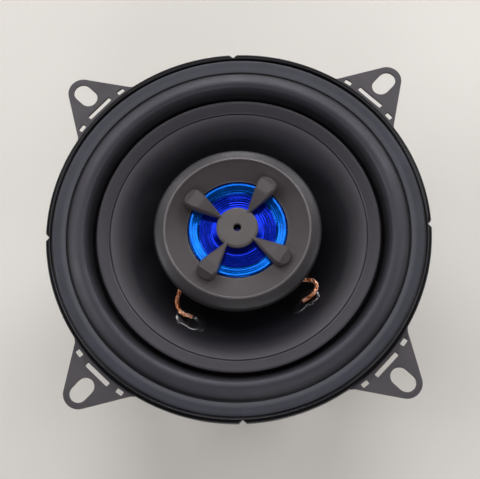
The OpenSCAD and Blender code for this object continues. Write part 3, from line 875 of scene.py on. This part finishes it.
def magnet_system():
    sleeve("top_plate", "front_plate", "plated_steel", 13.6, PLATE_R, 0.35, 192)
    low, high, bore = BACK_TOP, PLATE_LOW, 16.5
    rim = off(MAGNET_R, 0, [(-0.8, low, 0.3), (0, low + 0.8, 0.3), (0, high - 0.8, 0.3), (-0.8, high, 0.3)])
    round_part("ferrite_ring", "magnet_ring", "ferrite", fillet([(bore, low), *rim, (bore, high)]), 192)
    groove = off(PLATE_R, BACK_Z, [(-4.2, 0, 0.1), (-4, 0.2, 0.1), (-3.6, 0.2, 0.1), (-3.4, 0, 0.1),
                                   (-1, 0, 0.8), (0, 1, 0.8)])
    round_part("back_plate", "yoke", "plated_steel", fillet([
        *off(0, BACK_Z, [(3, 3.5), (5, 3.5, 0.1), (5, 0, 0.3)]), *groove, (PLATE_R, BACK_TOP, 0.3),
        (12.3, BACK_TOP), (12.3, SEAT_Z, 0.4), (3, SEAT_Z, 0.3)]), 192)
    sleeve("coil_tube", "voice_coil_former", "coil_former", NECK_R - 0.25, NECK_R, 0.05, body=CONE)
    wire_r = outer_r("voice_coil_winding")
    sleeve("coil_wire", "voice_coil_winding", "copper_winding", NECK_R, wire_r, 0.12, body=CONE)
    foot = off(0, SEAT_Z, [(POST_BORE, 0), (8.5, 0, 0.2), (8.5, 1.4, 0.4), (6.2, 2.4, 1), (5.4, 4, 1)])
    round_part("post_sleeve", "tweeter_post", "post_plastic",
               fillet([*foot, (5.4, HOUSING_LOW), (POST_BORE, HOUSING_LOW)]), 96)


def seat_rivets():
    shank, seat = PLATE_LOW + 1, SEAT_Z + 1
    profile = fillet([(0, shank), (1.5, shank), (1.5, seat, 0.02), (2.4, seat, 0.1),
                      (2.25, SEAT_Z + 1.6, 0.3), (1.5, SEAT_Z + 2, 0.5), (0, SEAT_Z + 2.1)])
    places = [turn(45 + a) @ shift(20.5, 0, 0) for a in QUARTERS]
    finished(group("seat_rivets", lathe("rivet", profile, 32), places), "rivet_steel", "basket_rivets")


# -------- bolt, washer and nut

def bolt():
    """Bolt with its head in the yoke's recess and a cross sunk into the head."""
    head_top = BACK_Z + 2.7
    head = off(0, head_top, [(0, -2.4), (2.2, -2.4, 0.5), (3.4, -1.6, 0.8), (3.6, 0, 0.1), (2, 0)])
    shank = lathe("bolt_shank", fillet([*head, (2, -4.5, 0.3), (0, -4.2)], 5), 64)
    for a in (0, 90):
        bar = plate("bar", rectangle(-1.9, 1.9, -0.4, 0.4, 0.2, 4), [], head_top - 3, head_top - 1.1, 0.05)
        cut = shank.modifiers.new("recess", "BOOLEAN")
        cut.object = placed(bar, turn(a))
        cut.solver = "EXACT"
        mesh = evaluated_mesh(shank)
        shank.modifiers.clear()
        shank.data = mesh
        bpy.data.objects.remove(bar)
    shank.name = "cross_bolt"
    finished(soften(shank, 30), "fastener_steel", "tweeter_bolt")


def bolt_fittings():
    seat = BACK_Z + 3.5
    washer = rectangle(2.1, 4.4, seat - 0.8, seat, 0.12)
    round_part("spring_washer", "bolt_washer", "fastener_steel", washer, 64)
    low, high = HOUSING_LOW + 1.2, heights("bolt_nut")[1]
    nut = plate("hex_nut", circle(0, 0, 4.05, 6), [circle(0, 0, 2.02)], low, high, 0.25)
    finished(nut, "fastener_steel", "bolt_nut")


# -------- terminals

def terminals():
    tab_hole, rivet_r = 1.4, 1.2
    holes = [circle(0, BOARD_RIVET_Z, rivet_r), *(circle(y, TAB_Z, tab_hole) for y in (TAB_Y, -TAB_Y))]
    board = plate("board", rectangle(-12, 12, -14, BOARD_TOP, 1.2, 4), holes, 0, BOARD_T, 0.1)
    board.name = "terminal_card"
    finished(placed(board, upright(TERMINAL_ANGLE, BOARD_X)), "phenolic_board", "terminal_board")
    for name, node, y, half in (("wide_blade", "terminal_positive", TAB_Y, 6.3 / 2),
                                ("narrow_blade", "terminal_negative", -TAB_Y, 4.8 / 2)):
        outline = fillet([(y - half + 1, -22, 0.3), (y + half - 1, -22, 0.3), (y + half, -20.5, 0.4),
                          (y + half, -6, 0.6), (y - half, -6, 0.6), (y - half, -20.5, 0.4)])
        blade = plate(name, outline, [circle(y, TAB_Z, tab_hole), circle(y, -18.2, 0.75, 20)], 0, BLADE_T)
        finished(placed(blade, upright(TERMINAL_ANGLE, BOARD_X + BOARD_T)), "tinned_tab", node)
    inner, step = BOARD_X - 0.7, BOARD_X + BOARD_T + BLADE_T
    profile = fillet([(0.8, inner, 0.2), (1.9, inner, 0.25), (1.9, BOARD_X, 0.1), (tab_hole, BOARD_X),
                      (tab_hole, step), (2, step, 0.1), (2, step + 0.6, 0.4), (0.8, step + 0.6, 0.3)])
    on_board = turn(TERMINAL_ANGLE)
    places = [on_board @ shift(0, s * TAB_Y, TAB_Z) @ turn(90, "Y") for s in (-1, 1)]
    finished(group("tab_eyelets", lathe("eyelet", profile, 40), places), "eyelet_brass", "terminal_eyelets")
    inner, outer = WALL_R - 0.9, BOARD_X + BOARD_T
    profile = fillet([(0, inner - 0.7), (2, inner - 0.7, 0.3), (2, inner, 0.1), (rivet_r, inner),
                      (rivet_r, outer), (2.2, outer, 0.1), (2, outer + 0.6, 0.4), (1.2, outer + 1, 0.4),
                      (0, outer + 1)])
    rivet = placed(lathe("card_rivet", profile, 40), on_board @ shift(0, 0, BOARD_RIVET_Z) @ turn(90, "Y"))
    finished(rivet, "rivet_steel", "board_rivet")


# -------- leads, eyelets and adhesive

FRONT_LEFT = [(-2.0, -19, -0.6), (-1.8, -19.3, -2.6), (-1.1, -21.2, -3.4), (0.4, -23.9, -2.9),
              (2.2, -25.2, -2.4), (3.8, -25.6, -2.1), (5.1, -25.2, -2.2), (6.2, -24.4, -3.2)]
FRONT_RIGHT = [(18.9, 1.8, -0.6), (19.2, 1.9, -2.6), (21.1, 3.1, -3.4), (22.8, 4.3, -3),
               (24.3, 4.2, -2.5), (25.3, 3, -2.1), (25.6, 1.1, -2.1), (24.8, -1.5, -3.1)]
# The rear leads' routes are drawn in the terminal board's own direction.
REAR_LEFT = [(43.5, -6.5, -9.8), (42.4, -7.3, -11), (39.5, -9.2, -11.4), (34, -12, -11.6),
             (28, -14, -10.8), (23, -14, -8.8), (21.1, -13.2, -6.6)]
REAR_RIGHT = [(43.5, 6.5, -9.8), (42.4, 7.3, -11), (39.5, 9.4, -11.4), (33, 13, -11.6),
              (26, 16.6, -10.8), (20.2, 18, -8.8), (18.2, 17.3, -6.6)]
EYELETS = ((5.7, -24.2), (25.1, -0.7))
LEAD_R = 0.6


def braid(name, node, route, degrees=0):
    """Braided lead: a core, and two sets of fine strands that wind round it and pass over each other."""
    strands, turns_per_mm, sides = 3, 0.2, 8
    path = spline([turn(degrees) @ Vector(p) for p in route], 14)
    frames = tube_frames(path)
    travelled = [0.0]
    for a, b in zip(path, path[1:]):
        travelled.append(travelled[-1] + (b - a).length)
    verts, faces = [], []
    skin(verts, faces, [(*row, LEAD_R * 0.5) for row in frames], sides)
    for way in (1, -1):
        for s in range(strands):
            rows = []
            for (p, n, m), d in zip(frames, travelled):
                a = tau * s / strands + way * tau * turns_per_mm * d
                over = way * 0.1 * LEAD_R * cos(strands * tau * turns_per_mm * d)
                out = n * cos(a) + m * sin(a)
                rows.append((p + out * (LEAD_R * 0.56 + over), n, m, LEAD_R * 0.37))
            skin(verts, faces, rows, sides)
    piece = finished(soften(new_mesh(name, verts, faces), 70), "copper_braid", node, body=None)
    bends(piece)


def leads():
    braid("braid_front_left", "front_lead_left", FRONT_LEFT)
    braid("braid_front_right", "front_lead_right", FRONT_RIGHT)
    braid("braid_rear_left", "rear_lead_left", REAR_LEFT, TERMINAL_ANGLE)
    braid("braid_rear_right", "rear_lead_right", REAR_RIGHT, TERMINAL_ANGLE)
    made = []
    for x, y in EYELETS:
        r = hypot(x, y)
        profile = rectangle(0.7, 1.3, cone_z(r) - 2, cone_z(r - 1.3) - 0.05, 0.15)
        made.append(placed(lathe("cone_eyelet", profile, 32), shift(x, y, 0)))
    finished(soften(join("cone_eyelets", made)), "eyelet_brass", "lead_eyelets", body=CONE)


def glue_patch(name, middle_r, middle_deg, outline, rim, dip):
    """Dab of adhesive on the cone. The outline gives its reach in mm at even steps round its middle, from
    straight outwards and on anticlockwise; rim and dip are the heights of its raised edge and its middle."""
    around, rings, ridge = 72, 20, 0.6
    reach = spline([(v, 0) for v in outline[-1:] + outline + outline[:2]], 24)[24:-24]
    centre = radians(middle_deg)
    outward = Vector((cos(centre), sin(centre)))
    aside = Vector((-outward.y, outward.x))
    verts, faces = [], []
    for ring in range(rings + 1):
        s = ring / rings
        for k, a in enumerate(even_angles(around)):
            far = reach[round(k * len(reach) / around) % len(reach)].x
            flat = outward * (middle_r + far * s * cos(a)) + aside * far * s * sin(a)
            inner = dip + (rim - dip) * smoothstep((s - 0.2) / (ridge - 0.2))
            lift = inner if s < ridge else rim * (1 - ((s - ridge) / (1 - ridge)) ** 2)
            verts.append((flat.x, flat.y, cone_z(flat.length) + lift - 0.04))
    for ring in range(rings):
        faces += band(ring * around, (ring + 1) * around, around, flip=True)
    return weld(new_mesh(name, verts, faces), 0.001)


def glue():
    left = glue_patch("glue_left", 25.9, -75.4, [3.0, 3.9, 4.6, 3.5, 2.5, 3.0, 4.2, 3.6], 0.62, 0.12)
    right = glue_patch("glue_right", 25.0, 0.5, [2.4, 3.1, 3.3, 2.4, 2.0, 3.0, 5.8, 2.3], 0.5, 0.15)
    dabs = soften(join("glue_dabs", [left, right]), 80)
    finished(dabs, "lead_adhesive", "lead_glue", body=CONE)


# -------- tweeter

def housing():
    r, t, low = HOUSING_R, HOUSING_TOP, HOUSING_LOW
    shoulder = [(FACE_R + 0.3, t - 0.2), *off(r, t, [
        (-1.9, -0.58), (-1.1, -0.98), (-0.45, -1.42), (-0.08, -2.05), (-0.06, -2.8), (-0.5, -4), (-1.2, -5.4),
        (-2.2, -7)])]
    bowl = off(0, low, [(12.6, 0.15), (12.2, 0), (POST_BORE, 0), (POST_BORE, 1.2), (12, 1.2)])
    bowl += [(r - 3.4, -1), (r - 2.2, 0.4), (r - 2.2, FACE_LOW - 0.4), (FACE_R - 0.34, FACE_LOW - 0.3)]
    lip = [(FACE_R - 0.34, FACE_LOW), (FACE_R - 0.34, FACE_TOP - 0.3)]
    lip += off(FACE_R, t, [(-0.26, -0.26), (-0.16, -0.07), (-0.02, 0), (0.12, -0.06), (0.2, -0.14)])
    outside = [(p.x, p.y) for p in spline(shoulder, 6)]
    profile = (outside + bowl + lip)[::-1]
    round_part("housing_shell", "tweeter_housing", "housing_plastic", profile, 224, crease=40)


ARM_POINT, ARM_END = 4.6, 16.3
ARM_WIDE, ARM_HALF, ARM_BLUNT = 13.3, 2.6, 2.9
ARM_CREST = 14.5
ARM_SIDES = 8


def arm_half_width(x):
    """Half width of an arm at distance x from the axis: straight sides, then a blunt end."""
    if x > ARM_WIDE:
        share = (x - ARM_WIDE) / (ARM_END - ARM_WIDE)
        return ARM_HALF * max(0.0, 1 - share ** ARM_BLUNT) ** (1 / ARM_BLUNT)
    return 0.12 + (ARM_HALF - 0.12) * ((x - ARM_POINT) / (ARM_WIDE - ARM_POINT)) ** 0.92


def arm_height(x):
    """Height of an arm's flat top: it climbs from the disc, and its blunt end is a slope."""
    if x < ARM_CREST:
        return FACE_TOP + 0.15 + (ARM_TOP - FACE_TOP - 0.15) * min(1.0, (x - ARM_POINT) / 6.5)
    return ARM_TOP - 1.5 * (x - ARM_CREST) / (ARM_END - ARM_CREST)


def arm():
    low = 3.4
    along = [ARM_POINT, ARM_POINT + 3, ARM_POINT + 6.5, 12, ARM_WIDE, ARM_WIDE + 0.4, ARM_CREST]
    along += [ARM_CREST + (ARM_END - ARM_CREST) * sin(pi / 2 * k / 12) for k in range(1, 13)]
    verts, faces = [], []
    for x in along:
        w, h = max(0.05, arm_half_width(x)), arm_height(x)
        edge = min(0.5, w * 0.5)
        half = [(w - edge, h), (w - edge * 0.12, h - edge * 0.8), (w, h - edge), (w + 0.02, low)]
        verts += [(x, -y, z) for y, z in half[::-1]] + [(x, y, z) for y, z in half]
    last = len(verts) - ARM_SIDES
    for a in range(0, last, ARM_SIDES):
        faces += band(a, a + ARM_SIDES, ARM_SIDES, closed=False, flip=True)
    faces += [list(range(ARM_SIDES)), list(range(last, len(verts)))[::-1]]
    return weld(new_mesh("arm", verts, faces), 0.001)


def face():
    dished = FACE_TOP - 1.62
    ring = fillet([(OPENING_R, FACE_LOW, 0.1), (FACE_R, FACE_LOW), (FACE_R, FACE_TOP + 0.2, 0.1),
                   (FACE_R - 0.25, FACE_TOP + 0.12, 0.3), (OPENING_R + 0.3, dished, 0.3),
                   (OPENING_R, dished - 0.2, 0.1)])
    disc = fillet([(1, 3.6), (DISC_R, 3.6, 0.1), *off(0, FACE_TOP, [
        (DISC_R, -0.1, 0.35), (DISC_R - 0.5, 0.1, 0.4), (1.15, 0.08, 0.2), (1, -0.1, 0.1)])])
    parts = [lathe("face_plate", ring, 224), lathe("face_disc", disc, 96)]
    parts += copies(arm(), [turn(ARM_ANGLE + a) for a in QUARTERS])
    piece = flatten_shading(soften(join("tweeter_grille", parts), 24))
    finished(piece, "face_plastic", "tweeter_face")


def diaphragm():
    """Ridged film: a dome inside the coil, fine folds outside it, and a rolled rim."""
    ripples, steps, inner, outer = 5, 8, 6.9, 10.2
    dome = [(0, 2.4), (2, 2.36), (4, 2.2), (5.3, 2.0), (6.2, 1.86), (inner, 1.8)]
    folds = []
    for k in range(1, steps * ripples):
        share = k / (steps * ripples)
        valley = 1.8 - 0.12 * sin(pi * share) + 0.2 * share
        folds.append(Vector((inner + (outer - inner) * share, valley + 0.06 * sin(tau * k / steps))))
    rim = [(10.3, 2.0), (10.5, 2.24), (10.8, 2.36), (11.3, 2.43), (11.9, 2.55), (12.35, 2.63), (12.75, 2.62),
           (13.05, 2.48), *off(0, FACE_LOW, [(13.3, -0.26), (13.6, -0.12), (15, -0.06)])]
    front = [(p.x, p.y) for p in spline(dome, 4)[:-1] + folds + spline(rim, 5)]
    back = [(r, z - 0.13) for r, z in front]
    piece = round_part("ridged_film", "tweeter_diaphragm", "blue_film", back + front[::-1], 224, None, 60)
    bends_round(piece)


def tweeter_motor():
    (low, high), cup_r = heights("tweeter_yoke"), outer_r("tweeter_yoke")
    pole_low, floor_z, clamp_top = heights("tweeter_pole_plate")[0], low + 1.1, FACE_LOW - 0.3
    round_part("clamp_ring", "tweeter_frame", "post_plastic", fillet([
        (9.4, high), (17.6, high, 0.2), (17.6, clamp_top, 0.2), (13.6, clamp_top, 0.3),
        (11.8, high + 0.6, 0.3), (9.4, high + 0.6, 0.2)]), 128)
    round_part("magnet_cup", "tweeter_yoke", "plated_steel", fillet([
        (0, low), (cup_r - 0.6, low, 0.4), (cup_r, low + 0.6, 0.4), (cup_r, high, 0.15), (7.4, high, 0.15),
        (7.4, floor_z, 0.2), (0, floor_z)]), 128)
    round_part("tweeter_slug", "tweeter_magnet", "neodymium", fillet([
        (0, floor_z), (5.9, floor_z, 0.15), (5.9, pole_low, 0.15), (0, pole_low)]), 96)
    round_part("pole_disc", "tweeter_pole_plate", "plated_steel", fillet([
        (0, pole_low), (6.2, pole_low, 0.12), (6.2, high, 0.2), (0, high)]), 96)
    r_in, r_wire, r_out = 6.5, 6.5 + 0.12, 6.5 + 0.4
    sleeve("tweeter_coil_tube", "tweeter_coil_former", "coil_former", r_in, r_wire, 0.03, 96, COIL)
    sleeve("tweeter_coil_wire", "tweeter_coil_winding", "copper_winding", r_wire, r_out, 0.1, 96, COIL)


WIRES = (  # left lead to its tag, right lead to its tag, and the capacitor's wire
    [(-2.2, -19, -0.2), (-4.5, -18.6, 0.1), (-10, -16, 0), (-14.5, -11, -0.8), (-15.2, -7.5, -1.4),
     (-14.6, -3.6, -1.8)],
    [(18.9, 1.8, -0.2), (18.2, 4.5, 0.1), (15.5, 8.6, 0), (10.9, 10.9, -0.4)],
    [(-12.4, 8.4, -1.8), (-11, 12, -1), (-7, 15.8, -0.1), (0, 17.8, 0.1), (6.5, 16, 0), (8.9, 12.7, -0.4)])
WIRE_R = 0.4


def wire(route):
    """Round wire with narrower ends."""
    frames = tube_frames(spline(route, 6))
    rows = [(*row, WIRE_R * (0.6 if i in (0, len(frames) - 1) else 1)) for i, row in enumerate(frames)]
    verts, faces = [], []
    skin(verts, faces, rows, 12)
    return new_mesh("wire", verts, faces)


def tweeter_wiring():
    runs = join("hookup_wires", [wire(route) for route in WIRES])
    finished(soften(runs, 50), "wire_red", "tweeter_wires")
    profile = fillet([(0, -5.5), (2.2, -5.5, 0.25), (2.5, -5.2, 0.3), (2.5, 3.9, 0.15), (2.25, 4.2, 0.2),
                      (2.5, 4.5, 0.15), (2.5, 5.2, 0.3), (2.2, 5.5, 0.2), (0, 5.5)])
    can = placed(lathe("capacitor_can", profile, 64), turn(170) @ shift(13.7, 0, -1.8) @ turn(90, "X"))
    finished(can, "capacitor_sleeve", "crossover_capacitor")
    tag = plate("tag", fillet([(-0.9, -1.2, 0.2), (0.9, -1.2, 0.2), (0.9, 0.8, 0.3), (-0.9, 0.8, 0.3)]),
                [circle(0, 0.1, 0.3, 16)], 0, 0.4, 0.05)
    finished(group("solder_tags", tag, [upright(a, 14.4) for a in (45, 55)]), "tinned_tab", "tweeter_tags")


# -------- floor, lights and camera

VIEW_UP = radians(133.55)
UP = Vector((cos(VIEW_UP), sin(VIEW_UP), 0))
HIGH = Vector((0, 0, 1))


def floor():
    """Pale floor, which fades out at a distance so that the backdrop follows it with no edge."""
    half = 3000
    obj = new_mesh("floor", [(-half, -half, 0), (half, -half, 0), (half, half, 0), (-half, half, 0)],
                   [(0, 1, 2, 3)])
    obj.location.z = BACK_Z * MM - 0.0002
    s = Surface("floor_board", (0.84, 0.814, 0.742), 0.6, Specular_IOR_Level=0.3)
    s.base(s.cloudy(14, 4, 0.985, 1.01))
    s.put("Alpha", s.zone(550, 1000, 1, 0))
    s.grain(900, 2, 0.01)
    obj.data.materials.append(s.mat)


def backdrop():
    """Pale wall all round, far behind the lamps. It throws no light of its own on the object."""
    wall = lathe("backdrop", [(3000, -1250), (3010, -1250), (3010, 2500), (3000, 2500)], 96)
    s = Surface("backdrop_paper", (0.8, 0.785, 0.76), 1)
    glow = s.node("Emission", 0, {"Color": s.cloudy(1.5, 3, 0.98, 1.02)})
    s.put("Surface", glow, s.nodes["Material Output"])
    s.nodes.remove(s.shader)
    wall.data.materials.append(s.mat)
    wall.visible_diffuse = wall.visible_glossy = wall.visible_transmission = wall.visible_shadow = False


# Soft boxes: name, degrees round from the photo's top towards its right, degrees down from overhead, size in
# metres, watts. The space right overhead stays dark, as it is behind the photo's camera.
SOFT_BOXES = (
    ("window", 0, 73, (0.6, 0.5), 6.6),
    ("window_right", 42, 66, (0.6, 0.5), 5.9),
    ("window_left", -42, 66, (0.6, 0.5), 4.2),
    ("side_left", -90, 67, (0.5, 0.7), 6.2),
    ("side_right", 90, 70, (0.5, 0.7), 3.4),
    ("ceiling", 0, 24, (1.1, 0.35), 3.8),
    ("back", 180, 50, (0.6, 0.4), 2.5),
    ("back_right", 150, 66, (0.6, 0.5), 2.6),
)
LAMP_DISTANCE = 1.3


def lights():
    for name, round_top, from_high, size, power in SOFT_BOXES:
        turned, tilt = radians(round_top), radians(from_high)
        level = UP * cos(turned) + UP.cross(HIGH) * sin(turned)
        place = (level * sin(tilt) + HIGH * cos(tilt)) * LAMP_DISTANCE
        data = bpy.data.lights.new(name, "AREA")
        data.shape = "RECTANGLE"
        data.size, data.size_y = size
        data.energy = power
        data.color = (1.0, 0.985, 1.02)
        lamp = add(name, data)
        lamp.location = place
        lamp.rotation_mode = "QUATERNION"
        lamp.rotation_quaternion = (-place).to_track_quat("-Z", "Y")
    world = bpy.data.worlds.new("room")
    world.use_nodes = True
    sky = world.node_tree.nodes["Background"]
    sky.inputs["Color"].default_value = (0.95, 0.97, 1.0, 1)
    sky.inputs["Strength"].default_value = 0.02
    bpy.context.scene.world = world


def camera():
    data = bpy.data.cameras.new("camera")
    data.sensor_width = 36
    data.lens = 90.95
    data.clip_start, data.clip_end = 0.01, 10
    place = Vector((76.92, -61.33, 306.6)) * MM
    target = Vector((2.22, -1.43, 2.0)) * MM
    ahead = (target - place).normalized()
    side = ahead.cross(UP).normalized()
    turned = Matrix((side, side.cross(ahead), -ahead)).transposed().to_4x4()
    turned.translation = place
    obj = add("camera", data)
    obj.matrix_world = turned
    bpy.context.scene.camera = obj


camera()
bpy.context.scene.view_settings.view_transform = "Standard"
bpy.context.scene.view_settings.look = "None"
for make in (floor, backdrop, lights, basket, front_gasket, surround, cone, spider, magnet_system,
             seat_rivets, bolt, bolt_fittings, terminals, leads, glue, housing, face, diaphragm,
             tweeter_motor, tweeter_wiring):
    make()
